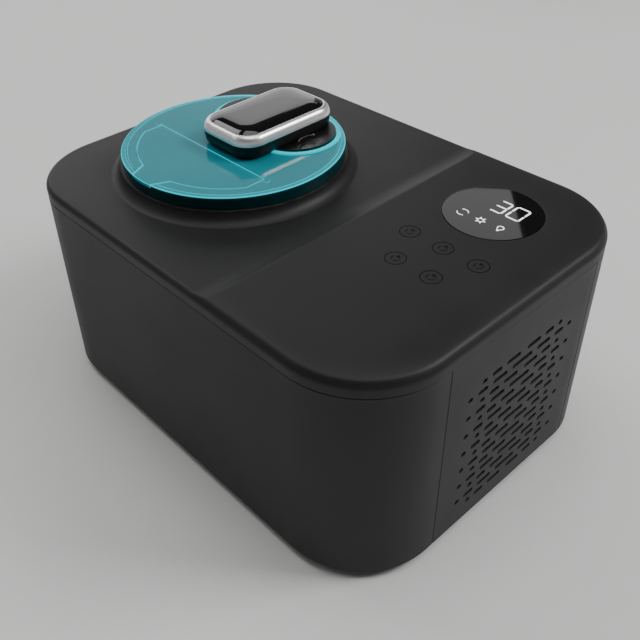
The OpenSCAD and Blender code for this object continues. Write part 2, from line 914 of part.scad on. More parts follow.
module motor_screws() {
    color(metal) for (x = [-1, 1]) translate([motor_x + x * motor_ear, motor_y, 0]) {
        bar(1.1, lock_z + 2.2, motor_z + 2);
        bar(2.4, motor_z + 1.5, motor_z + 3);
    }
}

// Involute gear of module 1, its first tooth on +X. thin is how much each flank stands back.
function involute(base, t) =
    base * [cos(t) + t * PI / 180 * sin(t), sin(t) - t * PI / 180 * cos(t)];
function turned(p, a) = [p.x * cos(a) - p.y * sin(a), p.x * sin(a) + p.y * cos(a)];
function roll_at(base, r) = r <= base ? 0 : sqrt(pow(r / base, 2) - 1) * 180 / PI;
function flank(teeth, thin) =
    let (pitch = teeth / 2, base = pitch * cos(20), tip = pitch + 0.9, root = pitch - 1.15,
        at_pitch = involute(base, roll_at(base, pitch)),
        half = 90 / teeth - thin / pitch * 180 / PI,
        shift = -atan2(at_pitch.y, at_pitch.x) - half, steps = 4)
    [turned([root, 0], shift), for (i = [0 : steps])
        turned(involute(base, roll_at(base, max(base, root)) +
            (roll_at(base, tip) - roll_at(base, max(base, root))) * i / steps), shift)];

module gear(teeth, thickness, first) {
    side = flank(teeth, 0.08);
    n = len(side);
    tooth = [for (p = side) p, for (i = [n - 1 : -1 : 0]) [side[i].x, -side[i].y]];
    linear_extrude(thickness)
        polygon([for (k = [0 : teeth - 1]) for (p = tooth) turned(p, first + k * 360 / teeth)]);
}

module motor_pinion() {
    color(metal) translate([motor_x, motor_y, 0]) {
        translate([0, 0, gear_z]) gear(pinion_teeth, gear_t, -90);
        bar(1.5, gear_z, motor_z + 5);
    }
}

module gear_pin() {
    color(metal) translate([motor_x, idler_y, 0]) bar(pin_r, lock_z + 1, upper_gear_z + gear_t + 2);
}

module idler_gear() {
    color(white) translate([motor_x, idler_y, 0]) difference() {
        union() {
            translate([0, 0, gear_z]) gear(idler_teeth, gear_t, 90 + 180 / idler_teeth);
            bar(5, gear_z, upper_gear_z + gear_t);
            translate([0, 0, upper_gear_z]) gear(idler_small_teeth, gear_t, mesh_angle);
        }
        bar(pin_r + run_gap, gear_z - 1, upper_gear_z + gear_t + 1);
    }
}

module drive_gear() {
    color(white) at_bowl() {
        translate([0, 0, upper_gear_z])
            gear(drive_teeth, gear_t, mesh_angle + 180 + 180 / drive_teeth);
        bar(shaft_r, collar_z + 2, gear_z - 0.4);
        bar(shaft_neck_r, gear_z - 0.4 - e, upper_gear_z + e);
        translate([-shaft_square / 2, -shaft_square / 2, ledge_z - 6])
            cube([shaft_square, shaft_square, collar_z + 2 - ledge_z + 6 + e]);
    }
}

feet();
base_tray();
body_screws();
body_shell();
vent_panel();
cord_gland();
top_cover();
display_window();
display_board();
touch_board();
power_board();
power_contacts();
cooling_well();
well_seal();
evaporator_coil();
foam_jacket();
compressor();
compressor_grommets();
compressor_bolts();
condenser_fins();
condenser_tube();
fan_shroud();
fan_frame();
fan_screws();
fan_rotor();
discharge_line();
liquid_line();
filter_drier();
capillary_tube();
suction_line();
bowl();
bowl_handle();
paddle();
lid();
lid_contacts();
flap();
flap_pins();
lock_plate();
motor_housing();
motor_bezel();
motor_cover();
drive_motor();
motor_screws();
motor_pinion();
gear_pin();
idler_gear();
drive_gear();
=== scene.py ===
import json
import math

import bmesh
import bpy
from mathutils import Matrix, Quaternion, Vector
from mathutils.geometry import delaunay_2d_cdt


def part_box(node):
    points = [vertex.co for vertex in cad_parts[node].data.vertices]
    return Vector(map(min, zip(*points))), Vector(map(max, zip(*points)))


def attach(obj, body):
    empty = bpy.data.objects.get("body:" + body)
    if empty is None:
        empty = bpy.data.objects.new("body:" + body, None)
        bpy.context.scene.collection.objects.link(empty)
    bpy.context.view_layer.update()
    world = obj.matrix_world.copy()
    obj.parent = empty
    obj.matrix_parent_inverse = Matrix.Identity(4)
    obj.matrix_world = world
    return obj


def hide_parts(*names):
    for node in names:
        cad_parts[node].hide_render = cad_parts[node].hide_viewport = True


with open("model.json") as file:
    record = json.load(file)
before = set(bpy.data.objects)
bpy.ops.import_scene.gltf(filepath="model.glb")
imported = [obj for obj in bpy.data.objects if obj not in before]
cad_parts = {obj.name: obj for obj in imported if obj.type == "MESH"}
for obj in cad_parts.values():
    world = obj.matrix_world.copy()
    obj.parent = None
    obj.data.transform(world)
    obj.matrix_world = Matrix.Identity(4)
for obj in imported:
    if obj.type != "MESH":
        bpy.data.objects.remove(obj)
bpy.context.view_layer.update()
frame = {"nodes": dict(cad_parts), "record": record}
NODES = frame["nodes"]
MM = 0.001

# ---------------------------------------------------------------- sizes, in mm, read from the CAD boxes


def box(node):
    lo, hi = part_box(node)
    return lo / MM, hi / MM


cover_lo, cover_hi = box("top_cover")
shell_lo, shell_hi = box("body_shell")
lid_lo, lid_hi = box("lid")
flap_hi = box("flap")[1]
window_lo, window_hi = box("display_window")
bezel_lo, bezel_hi = box("motor_bezel")
dome_hi = box("motor_cover")[1]
plate_hi = box("lock_plate")[1]
W, D = cover_hi.x - cover_lo.x, cover_hi.y - cover_lo.y
CORNER = 67
FOOT = shell_lo.z
SEAM = shell_hi.z
DECK_RISE = 11
DECK = SEAM + DECK_RISE
CONTROL = window_hi.z
LID_LIP = 0.7
COLLAR = lid_lo.z + LID_LIP
LEDGE_DROP = 2.5
LEDGE = COLLAR - LEDGE_DROP
BOWL = ((lid_lo.x + lid_hi.x) / 2, (lid_lo.y + lid_hi.y) / 2)
LID_R = (lid_hi.x - lid_lo.x) / 2
LID_TOP = flap_hi.z
WINDOW = ((window_lo.x + window_hi.x) / 2, (window_lo.y + window_hi.y) / 2)
WINDOW_R = (window_hi.x - window_lo.x) / 2
TOUCH = [(96, 8), (126, 8), (156, 8), (111, -24), (142, -24)]

# ---------------------------------------------------------------- materials


def link(tree, a, b):
    tree.links.new(a, b)


def add(tree, kind, **values):
    node = tree.nodes.new("ShaderNode" + kind)
    for key, value in values.items():
        setattr(node, key, value)
    return node


def noise(tree, source, scale, detail=3.0, rough=0.5):
    node = add(tree, "TexNoise")
    node.inputs["Scale"].default_value = scale
    node.inputs["Detail"].default_value = detail
    node.inputs["Roughness"].default_value = rough
    link(tree, source, node.inputs["Vector"])
    return node.outputs["Fac"]


def ramp(tree, source, stops):
    node = add(tree, "ValToRGB")
    elements = node.color_ramp.elements
    while len(elements) < len(stops):
        elements.new(0.5)
    for element, (at, color) in zip(elements, stops):
        element.position = at
        element.color = (*color, 1)
    link(tree, source, node.inputs["Fac"])
    return node.outputs["Color"]


def spread(tree, source, lo, hi, a=0.3, b=0.7):
    node = add(tree, "MapRange")
    node.inputs["From Min"].default_value = a
    node.inputs["From Max"].default_value = b
    node.inputs["To Min"].default_value = lo
    node.inputs["To Max"].default_value = hi
    link(tree, source, node.inputs["Value"])
    return node.outputs["Result"]


WORN_GAIN, WORN_LIFT = 1.6, 0.03
FINE_SHARE = 0.45


def finish(name, color, rough, metal=0.0, tone=0.12, spots=14, grain=2400, span=0.06,
           bump=0.25, depth=0.03, wear=0.0, stretch=None, **sockets):
    """A surface with broad tone changes, fine grain in its roughness and relief, and lighter edges."""
    m = bpy.data.materials.new(name)
    m.use_nodes = True
    t = m.node_tree
    s = t.nodes["Principled BSDF"]
    place = add(t, "TexCoord").outputs["Object"]
    fine_place = place
    if stretch:
        mapping = add(t, "Mapping")
        mapping.inputs["Scale"].default_value = stretch
        link(t, place, mapping.inputs["Vector"])
        fine_place = mapping.outputs["Vector"]
    broad = noise(t, place, spots, 4, 0.6)
    fine = noise(t, fine_place, grain, 2, 0.55)
    dark = [c * (1 - tone) for c in color]
    light = [min(1, c * (1 + tone)) for c in color]
    tint = ramp(t, broad, [(0.32, dark), (0.68, light)])
    speck = add(t, "MixRGB", blend_type="MULTIPLY")
    speck.inputs["Fac"].default_value = 1
    link(t, tint, speck.inputs["Color1"])
    link(t, ramp(t, fine, [(0.25, (1 - tone,) * 3), (0.75, (1, 1, 1))]), speck.inputs["Color2"])
    out = speck.outputs["Color"]
    if wear:
        edge = add(t, "NewGeometry").outputs["Pointiness"]
        worn = add(t, "MixRGB", blend_type="MIX")
        link(t, spread(t, edge, 0, wear, 0.51, 0.6), worn.inputs["Fac"])
        link(t, out, worn.inputs["Color1"])
        worn.inputs["Color2"].default_value = (*[min(1, c * WORN_GAIN + WORN_LIFT) for c in color], 1)
        out = worn.outputs["Color"]
    link(t, out, s.inputs["Base Color"])
    mixed = add(t, "MixRGB", blend_type="MIX")
    mixed.inputs["Fac"].default_value = FINE_SHARE
    link(t, broad, mixed.inputs["Color1"])
    link(t, fine, mixed.inputs["Color2"])
    link(t, spread(t, mixed.outputs["Color"], max(0.0, rough - span), min(1, rough + span)),
         s.inputs["Roughness"])
    relief = add(t, "Bump")
    relief.inputs["Strength"].default_value = bump
    relief.inputs["Distance"].default_value = depth * MM
    link(t, fine, relief.inputs["Height"])
    link(t, relief.outputs["Normal"], s.inputs["Normal"])
    s.inputs["Metallic"].default_value = metal
    for key, value in sockets.items():
        s.inputs[key.replace("_", " ")].default_value = value
    return m


CHARCOAL = (0.0115, 0.0116, 0.012)
PLASTIC_IOR = 1.49
# Cyan of the glow painted on the lid's edges and rim band, a painted highlight
PAINTED_GLOW = (0.0, 0.66, 0.8)
M = {
    "case_plastic": finish("case_plastic", CHARCOAL, 0.5, wear=0.35, depth=0.035, bump=0.35,
                           Specular_IOR_Level=0.32),
    "black_plastic": finish("black_plastic", (0.0035, 0.0035, 0.0038), 0.36, wear=0.15,
                            Specular_IOR_Level=0.3),
    "gloss_black": finish("gloss_black", (0.004, 0.004, 0.0045), 0.05, span=0.02, tone=0.05, bump=0.02,
                          grain=500, Coat_Weight=0.4, Coat_Roughness=0.03),
    "window_gloss": finish("window_gloss", (0.002, 0.002, 0.0022), 0.04, span=0.012, tone=0.05, bump=0.01,
                           grain=500, Coat_Weight=0.3, Coat_Roughness=0.02),
    "rubber": finish("rubber", (0.012, 0.012, 0.012), 0.75, depth=0.06, bump=0.4),
    "bezel_metal": finish("bezel_metal", (0.93, 0.93, 0.93), 0.3, 0.92, tone=0.04, grain=900,
                          stretch=(0.04, 0.04, 8), bump=0.12, depth=0.01, span=0.05),
    "sheet_aluminium": finish("sheet_aluminium", (0.6, 0.61, 0.62), 0.36, 1.0, tone=0.07,
                              stretch=(1, 0.05, 0.05), grain=1400, bump=0.1, depth=0.02),
    "bowl_aluminium": finish("bowl_aluminium", (0.66, 0.67, 0.68), 0.3, 1.0, tone=0.05,
                             stretch=(0.05, 0.05, 1.5), grain=1500, bump=0.08, depth=0.01),
    "steel": finish("steel", (0.6, 0.6, 0.61), 0.2, 1.0, tone=0.06, bump=0.06, wear=0.2),
    "copper": finish("copper", (0.72, 0.33, 0.17), 0.3, 1.0, tone=0.18, spots=60, bump=0.1),
    "board": finish("board", (0.015, 0.11, 0.05), 0.3, tone=0.25, spots=220, grain=1200, bump=0.2),
    "contact_brass": finish("contact_brass", (0.7, 0.5, 0.2), 0.25, 1.0, tone=0.1, spots=200),
    "foam": finish("foam", (0.74, 0.66, 0.47), 0.85, tone=0.12, spots=60, grain=420, bump=0.8, depth=0.5),
    "compressor_paint": finish("compressor_paint", (0.012, 0.012, 0.013), 0.34, tone=0.15, bump=0.35,
                               grain=700, depth=0.05, wear=0.5),
    "white_plastic": finish("white_plastic", (0.74, 0.74, 0.72), 0.42, tone=0.04, bump=0.2, wear=0.2,
                            Subsurface_Weight=0.08),
}

CYAN = (0.012, 0.3, 0.36)
M["clear_blue"] = finish("clear_blue", CYAN, 0.09, tone=0.06, span=0.03, bump=0.03, grain=300, spots=9,
                         Transmission_Weight=0.3, IOR=PLASTIC_IOR, Specular_IOR_Level=0.05)
# The lid's edge look: a painted cyan glow, standing in for light that the clear plastic's edges gather
M["clear_blue_painted_glow"] = finish("clear_blue_painted_glow", (0.0, 0.42, 0.5), 0.3, tone=0.05, bump=0.03,
                              grain=300, Specular_IOR_Level=0.03,
                              Emission_Color=(*PAINTED_GLOW, 1), Emission_Strength=0.6)
# The lid's outer-wall look: painted darkness standing in for the black collar seen through the clear wall
M["clear_blue_painted_dark_wall"] = finish("clear_blue_painted_dark_wall", (0.0008, 0.034, 0.04), 0.1, tone=0.1, bump=0.03,
                              grain=300, IOR=PLASTIC_IOR, Specular_IOR_Level=0.3)
# The lid's rim-band look: a painted cyan glow that grows toward the back-left, a painted highlight
M["clear_blue_painted_glow_band"] = finish("clear_blue_painted_glow_band", CYAN, 0.12, tone=0.06, bump=0.03, grain=300,
                              Specular_IOR_Level=0.07, Emission_Strength=0.8)


def paint_glow_to_one_side(m, toward, start, end, color):
    """Painted glow: emission that grows along a direction, from start to end in metres, painted in as light
    that leaves an edge.
    """
    t = m.node_tree
    along = add(t, "VectorMath", operation="DOT_PRODUCT")
    link(t, add(t, "TexCoord").outputs["Object"], along.inputs[0])
    along.inputs[1].default_value = toward
    link(t, ramp(t, spread(t, along.outputs["Value"], 0, 1, start, end), [(0, (0, 0, 0)), (1, color)]),
         t.nodes["Principled BSDF"].inputs["Emission Color"])


# The rim band's painted glow grows toward the back-left.
paint_glow_to_one_side(M["clear_blue_painted_glow_band"], (-0.55, 0.83, 0), 0.045, 0.125, PAINTED_GLOW)
M["glow_white"] = finish("glow_white", (0.9, 0.9, 0.9), 0.3, tone=0.03, bump=0.05, grain=3000,
                         Emission_Color=(0.95, 0.97, 1.0, 1), Emission_Strength=1.1)
M["mark_brown"] = finish("mark_brown", (0.09, 0.045, 0.03), 0.5, tone=0.15, bump=0.05)
M["mark_print"] = finish("mark_print", (0.003, 0.003, 0.0035), 0.5, tone=0.1, bump=0.05,
                         Specular_IOR_Level=0.1)

for row in frame["record"]["subparts"]:
    o = NODES[row["node"]]
    o.data.materials.clear()
    o.data.materials.append(M[row["material_slot"]])

# ---------------------------------------------------------------- mesh tools


SAME_MM = 1e-4
FLAT_WEIGHT = 80


def make(name, verts, faces, slot, body, replaces=(), smooth=34, extra=(), pick=None, weld=SAME_MM,
         look=None):
    """A closed piece in mm. extra are more materials, and pick(centre, normal) says which one a face has."""
    mesh = bpy.data.meshes.new(name)
    mesh.from_pydata([[c * MM for c in v] for v in verts], [], faces)
    bm = bmesh.new()
    bm.from_mesh(mesh)
    bmesh.ops.remove_doubles(bm, verts=bm.verts, dist=weld * MM)
    bmesh.ops.dissolve_degenerate(bm, edges=bm.edges, dist=weld * MM)
    bmesh.ops.recalc_face_normals(bm, faces=bm.faces)
    mesh.materials.append(M[look or slot])
    for other in extra:
        mesh.materials.append(M[other])
    if pick:
        for f in bm.faces:
            f.material_index = pick(f.calc_center_median() / MM, f.normal)
    bm.to_mesh(mesh)
    bm.free()
    mesh.shade_smooth()
    mesh.set_sharp_from_angle(angle=math.radians(smooth))
    o = bpy.data.objects.new(name, mesh)
    bpy.context.scene.collection.objects.link(o)
    flat = o.modifiers.new("flat", "WEIGHTED_NORMAL")
    flat.keep_sharp = True
    flat.weight = FLAT_WEIGHT
    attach(o, body)
    if replaces:
        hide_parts(*replaces)
    return o


def circle(cx, cy, r, n):
    turns = [2 * math.pi * i / n for i in range(n)]
    return [(cx + r * math.cos(a), cy + r * math.sin(a)) for a in turns]


def slab(name, loops, points, top, bottom, keep, *args, **kw):
    """A solid from one flat triangulation: top and bottom give each point's two places, and keep says
    which triangles stay, by their middles."""
    verts, edges = [], []
    for loop in loops:
        first = len(verts)
        verts += loop
        edges += [(first + i, first + (i + 1) % len(loop)) for i in range(len(loop))]
    verts += points
    out, _, tris, _, _, _ = delaunay_2d_cdt([Vector(v) for v in verts], edges, [], 0, 1e-5)
    tris = [t for t in tris if keep(*[sum(out[i][k] for i in t) / 3 for k in (0, 1)])]
    used = sorted({i for t in tris for i in t})
    index = {v: i for i, v in enumerate(used)}
    n = len(used)
    places = [top(*out[v]) for v in used] + [bottom(*out[v]) for v in used]
    faces, border = [], {}
    for t in tris:
        t = [index[i] for i in t]
        faces.append(t)
        faces.append([i + n for i in reversed(t)])
        for a, b in zip(t, t[1:] + t[:1]):
            border[(a, b)] = (b, a) not in border
            if (b, a) in border:
                border[(b, a)] = False
    faces += [[b, a, a + n, b + n] for (a, b), open_ in border.items() if open_]
    return make(name, places, faces, *args, **kw)


def revolve(cx, cy, profile, n=128):
    """Vertices and faces of a closed profile (radius, height) turned round an upright axis."""
    verts, faces = [], []
    rings = []
    for r, z in profile:
        if r < 1e-6:
            rings.append([len(verts)] * n)
            verts.append((cx, cy, z))
        else:
            rings.append(list(range(len(verts), len(verts) + n)))
            verts += [(x, y, z) for x, y in circle(cx, cy, r, n)]
    for a, b in zip(rings, rings[1:] + rings[:1]):
        for i in range(n):
            j = (i + 1) % n
            face = []
            for v in (a[i], a[j], b[j], b[i]):
                if v not in face:
                    face.append(v)
            if len(face) > 2:
                faces.append(face)
    return verts, faces


def loft(loops, caps=True):
    """Vertices and faces of a skin through loops that all have the same number of points."""
    n = len(loops[0])
    verts = [p for loop in loops for p in loop]
    faces = []
    for k in range(len(loops) - 1):
        for i in range(n):
            j = (i + 1) % n
            faces.append([k * n + i, k * n + j, (k + 1) * n + j, (k + 1) * n + i])
    if caps:
        faces.append(list(range(n))[::-1])
        faces.append([(len(loops) - 1) * n + i for i in range(n)])
    return verts, faces


def between(a, b, step):
    """Even places from a to b, about step apart."""
    n = max(1, round(abs(b - a) / step))
    return [a + (b - a) * i / n for i in range(n + 1)]


def rounded(w, d, r, cx=0, cy=0, xs=(), ys=(), n=24):
    """Points of a round-cornered rectangle with their outward directions, anticlockwise."""
    hx, hy = w / 2 - r, d / 2 - r
    xs = [x for x in xs if -hx < x < hx]
    ys = [y for y in ys if -hy < y < hy]
    out = [(cx + w / 2, cy + y, 1, 0) for y in ys]
    sides = [(1, 1, [(x, d / 2, 0, 1) for x in reversed(xs)]),
             (-1, 1, [(-w / 2, y, -1, 0) for y in reversed(ys)]),
             (-1, -1, [(x, -d / 2, 0, -1) for x in xs]),
             (1, -1, [])]
    for k, (ax, ay, side) in enumerate(sides):
        for i in range(n + 1):
            a = math.radians(90 * (k + i / n))
            out.append((cx + ax * hx + r * math.cos(a), cy + ay * hy + r * math.sin(a),
                        math.cos(a), math.sin(a)))
        out += [(cx + x, cy + y, u, v) for x, y, u, v in side]
    return out


def inset(outline, s):
    return [(x - u * s, y - v * s) for x, y, u, v in outline]


def inside_by(x, y, w, d, r):
    """How far a point is inside a round-cornered rectangle round the origin."""
    qx, qy = abs(x) - (w / 2 - r), abs(y) - (d / 2 - r)
    return r - math.hypot(max(qx, 0), max(qy, 0)) - min(max(qx, qy), 0)


def step(d, high, low, bevel):
    """The height across an edge: high where d is over bevel, low under zero, rounded between."""
    if d <= 0:
        return low
    if d >= bevel:
        return high
    return high - bevel + math.sqrt(max(0, bevel ** 2 - (bevel - d) ** 2))


def soft_min(a, b, k):
    """The smaller of two heights, blended over k where they cross."""
    h = max(k - abs(a - b), 0) / k
    return min(a, b) - h * h * k / 4


# ---------------------------------------------------------------- top cover

# The deck is flat, and a curve RAMP wide lifts it to the control area at x = CREST. EDGE rounds the rim.
EDGE = 5.0
WALL_T, COVER_T = 3.0, 3
JOINT_BEVEL = 0.45
CREST, RAMP = 56, 17
PILLOW_IN, PILLOW_W = 0.5, 26
BLEND = 0.8
MOUTH_R, COLLAR_IN, COLLAR_TOP, COLLAR_FOOT = 83, 86.99, 92.85, 101.4
COLLAR_BEVEL, BEVEL_IN, BEVEL_OUT = 0.4, 0.35, 0.3
FLARE_AT, FLARE_R = 103.5, 10.7
WINDOW_GAP, WINDOW_BEVEL = 0.19, 0.6
WINDOW_SINK, WINDOW_BEVEL_H = 2, 0.3
WINDOW_LEDGE = 4
RAMP_R = (RAMP ** 2 + (CONTROL - DECK) ** 2) / (2 * (CONTROL - DECK))
columns = sorted(set(
    between(-132, 36, 4) + between(38, 53, 1.5) + between(53.5, 58.5, 0.5) + between(60, 132, 4)))
rows = between(-78, 78, 4)
body_outline = rounded(W, D, CORNER, xs=columns, ys=rows, n=32)


def control_height(x, y, s):
    t = min(max((s - PILLOW_IN) / PILLOW_W, 0), 1)
    pillow = DECK - 1 + (CONTROL - DECK + 1) * math.sqrt(1 - (1 - t) ** 2)
    u = min(max(x - (CREST - RAMP), 0), RAMP_R * 0.9)
    climb = DECK + RAMP_R - math.sqrt(RAMP_R ** 2 - u * u)
    return max(DECK, soft_min(pillow, climb, BLEND))


def cover_top(x, y):
    s = inside_by(x, y, W, D, CORNER)
    z = control_height(x, y, s)
    if s < EDGE:
        z -= EDGE - math.sqrt(max(0, EDGE ** 2 - (EDGE - s) ** 2))
    r = math.hypot(x - BOWL[0], y - BOWL[1])
    if r < COLLAR_FOOT:
        if r > COLLAR_TOP:
            z = max(z, COLLAR + 1 - math.sqrt(FLARE_R ** 2 - (FLARE_AT - r) ** 2))
        elif r > COLLAR_IN:
            z = COLLAR - BEVEL_IN * max(0, 1 - (r - COLLAR_IN) / COLLAR_BEVEL)
            z -= BEVEL_OUT * max(0, 1 - (COLLAR_TOP - r) / COLLAR_BEVEL)
        else:
            z = LEDGE
    w = math.hypot(x - WINDOW[0], y - WINDOW[1])
    if w < WINDOW_R + WINDOW_GAP:
        z = CONTROL - WINDOW_SINK
    elif w < WINDOW_R + WINDOW_BEVEL:
        z -= WINDOW_BEVEL_H * (1 - (w - WINDOW_R - WINDOW_GAP) / (WINDOW_BEVEL - WINDOW_GAP))
    return (x, y, z)


def cover_bottom(x, y):
    s = inside_by(x, y, W, D, CORNER)
    if s < WALL_T + 0.02:
        return (x, y, SEAM + max(0, JOINT_BEVEL - s))
    return (x, y, DECK - COVER_T)


def cover_keep(x, y):
    return (math.hypot(x - BOWL[0], y - BOWL[1]) > MOUTH_R
            and math.hypot(x - WINDOW[0], y - WINDOW[1]) > WINDOW_R - WINDOW_LEDGE
            and inside_by(x, y, W, D, CORNER) > 0.0)


loops = [inset(body_outline, EDGE * (1 - math.cos(math.radians(a)))) for a in range(0, 91, 10)]
loops += [inset(body_outline, s) for s in (JOINT_BEVEL, WALL_T, 3.05, 6.5, 8.5, 11, 14, 17.5, 21.5, 26, 28)]
collar_rings = [MOUTH_R, 86.98, 87, 87.4, 90, 92.45, COLLAR_TOP]
collar_rings += [FLARE_AT - FLARE_R * math.cos(math.radians(a)) for a in range(8, 79, 5)]
collar_rings += [COLLAR_FOOT + 0.02, FLARE_AT, 107]
loops += [circle(*BOWL, r, 144) for r in collar_rings]
loops += [circle(*WINDOW, WINDOW_R + r, 128) for r in (-WINDOW_LEDGE, 0.18, 0.2, WINDOW_BEVEL, 2.0)]
points = [(x, y) for x in columns for y in between(-140, 140, 4)
          if inside_by(x, y, W, D, CORNER) > 30 and math.hypot(x - BOWL[0], y - BOWL[1]) > 110
          and math.hypot(x - WINDOW[0], y - WINDOW[1]) > 41]
slab("cover", loops, points, cover_top, cover_bottom, cover_keep,
     "case_plastic", "body", ["top_cover"], smooth=30)

# ---------------------------------------------------------------- the wall round the body

FLAT_X, FLAT_Y = W - 2 * CORNER, D - 2 * CORNER
ARC = CORNER * math.pi / 2
AROUND = 2 * (FLAT_X + FLAT_Y) + 4 * ARC
FOOT_ROUND, FOOT_SLOPE = 1.5, 0.75
HOLE_BEVEL = 0.3


def along(u):
    """The point and outward direction at a distance round the body, from the middle of the right side."""
    u = (u + FLAT_Y / 2) % AROUND
    for k, flat in enumerate((FLAT_Y, FLAT_X, FLAT_Y, FLAT_X)):
        a = math.radians(90 * k)
        out, on = (math.cos(a), math.sin(a)), (-math.sin(a), math.cos(a))
        half, other = (FLAT_Y / 2, FLAT_X / 2) if k % 2 == 0 else (FLAT_X / 2, FLAT_Y / 2)
        if u <= flat:
            m = u - half
            far = other + CORNER
            return (out[0] * far + on[0] * m, out[1] * far + on[1] * m, *out)
        u -= flat
        if u <= ARC:
            b = a + u / CORNER
            cx = out[0] * other + on[0] * half
            cy = out[1] * other + on[1] * half
            return (cx + CORNER * math.cos(b), cy + CORNER * math.sin(b), math.cos(b), math.sin(b))
        u -= ARC
    return along(0)


def wall_place(u, z, depth):
    x, y, nx, ny = along(u)
    return (x - nx * depth, y - ny * depth, z)


def wall(name, u0, u1, holes, rims, hole_at, replaces):
    """A stretch of the body's wall. holes are outlines cut through it, rims are their bevels' edges, and
    hole_at gives the distance to the nearest hole."""
    edge = JOINT_BEVEL
    frame_loop = [(u0, FOOT), (u1, FOOT), (u1, SEAM), (u0, SEAM)]
    us = [u0, u0 + edge] + between(u0 + 2, u1 - 2, 3.2) + [u1 - edge, u1]
    zs = [FOOT, FOOT + 0.6, FOOT + FOOT_ROUND, FOOT + 8]
    zs += between(30, SEAM - 12, 14) + [SEAM - 4, SEAM - edge, SEAM]
    pts = [(u, z) for u in us for z in zs if hole_at(u, z) > 0.9]

    def depth(u, z):
        d = max(0, FOOT_ROUND - (z - FOOT)) * FOOT_SLOPE
        d = max(d, edge - (SEAM - z), edge - (u - u0), edge - (u1 - u))
        h = hole_at(u, z)
        return max(d, HOLE_BEVEL - h if h < HOLE_BEVEL else 0)

    return slab(name, [frame_loop] + holes + rims, pts,
                lambda u, z: wall_place(u, z, depth(u, z)),
                lambda u, z: wall_place(u, z, WALL_T),
                lambda u, z: hole_at(u, z) > 0.0 and u0 < u < u1 and FOOT < z < SEAM,
                "case_plastic", "body", replaces, smooth=32)


def stadium(cx, cy, length, r, n=8):
    """The outline of a slot with round ends."""
    half = max(length / 2 - r, 0.001)
    out = []
    for side in (1, -1):
        for i in range(n + 1):
            a = math.radians(-90 + 180 * i / n + (0 if side > 0 else 180))
            out.append((cx + side * half + r * math.cos(a), cy + r * math.sin(a)))
    return out


SLOT = 1.7
ROWS, ROW_PITCH, ROWS_MID = 15, 8.4, 77
PANEL_MID, PANEL_HALF, PANEL_GAP = 8, 80, 0.3
EVEN_ROW = [(11.5, 15), (29.7, 10), (42.5, 4.6)]
ODD_ROW = [(24.7, 15), (43, 10), (56, 4.6)]
ODD_MID = 22.5
slots = []
for row in range(ROWS):
    z = FOOT + ROWS_MID + (row - ROWS // 2) * ROW_PITCH
    parts = EVEN_ROW if row % 2 == 0 else ODD_ROW
    slots += [(PANEL_MID + side * at, z, length) for at, length in parts for side in (-1, 1)]
    if row % 2:
        slots.append((PANEL_MID, z, ODD_MID))


FAR = 9


def slot_distance(u, z):
    best = FAR
    for at, height, length in slots:
        if abs(z - height) < FAR:
            half = length / 2 - SLOT
            best = min(best, math.hypot(max(abs(u - at) - half, 0), z - height) - SLOT)
    return best


PANEL_0 = PANEL_MID - PANEL_HALF
PANEL_1 = FLAT_Y / 2 + CORNER * math.asin((PANEL_MID + PANEL_HALF - FLAT_Y / 2) / CORNER)
wall("side_panel", PANEL_0 + PANEL_GAP, PANEL_1 - PANEL_GAP,
     [stadium(a, z, length, SLOT) for a, z, length in slots],
     [stadium(a, z, length + 2 * HOLE_BEVEL, SLOT + HOLE_BEVEL) for a, z, length in slots],
     slot_distance, ["vent_panel"])

BACK = FLAT_Y / 2 + ARC + FLAT_X / 2
BAR, BAR_R, BAR_PITCH, BAR_FIRST, BARS = 30, 2, 8, 42, 12
GRILLE_MID, GRILLE_REACH = 86, 60
grille = [(BACK - (BAR_FIRST + i * BAR_PITCH), z) for i in range(BARS) for z in (69, 107)]
GLAND, GLAND_R = (BACK - 118, 38), 10.1


def grille_distance(u, z):
    d = math.hypot(u - GLAND[0], z - GLAND[1]) - GLAND_R
    if abs(u - BACK + GRILLE_MID) < GRILLE_REACH:
        for at, height in grille:
            if abs(u - at) < BAR_PITCH:
                d = min(d, math.hypot(u - at, max(abs(z - height) - (BAR / 2 - BAR_R), 0)) - BAR_R)
    return d


def upright(cx, cz, length, r):
    """A slot turned to stand on end."""
    return [(cx - (y - cz), cz + (x - cx)) for x, y in stadium(cx, cz, length, r)]


wall("body_wall", PANEL_1, AROUND + PANEL_0,
     [upright(a, z, BAR, BAR_R) for a, z in grille] + [circle(*GLAND, GLAND_R, 48)],
     [upright(a, z, BAR + 2 * HOLE_BEVEL, BAR_R + HOLE_BEVEL) for a, z in grille] + [
         circle(*GLAND, GLAND_R + HOLE_BEVEL, 48)],
     grille_distance, ["body_shell"])

# ---------------------------------------------------------------- display window and its marks

verts, faces = revolve(*WINDOW, [
    (0, CONTROL), (WINDOW_R - 0.5, CONTROL), (WINDOW_R - 0.15, CONTROL - 0.12), (WINDOW_R, CONTROL - 0.45),
    (WINDOW_R, CONTROL - WINDOW_SINK), (0, CONTROL - WINDOW_SINK)])
make("round_window", verts, faces, "window_gloss", "body", ["display_window"])


def flat_marks(name, outlines, z, slot, look, body="body", thick=0.05):
    """Thin closed shapes that lie on a flat surface."""
    verts, faces = [], []
    for outline in outlines:
        n, first = len(outline), len(verts)
        verts += [(x, y, z) for x, y in outline] + [(x, y, z - thick) for x, y in outline]
        faces.append([first + i for i in range(n)])
        faces.append([first + n + i for i in reversed(range(n))])
        faces += [[first + i, first + n + i, first + n + (i + 1) % n, first + (i + 1) % n]
                  for i in range(n)]
    return make(name, verts, faces, slot, body, weld=1e-5, look=look)


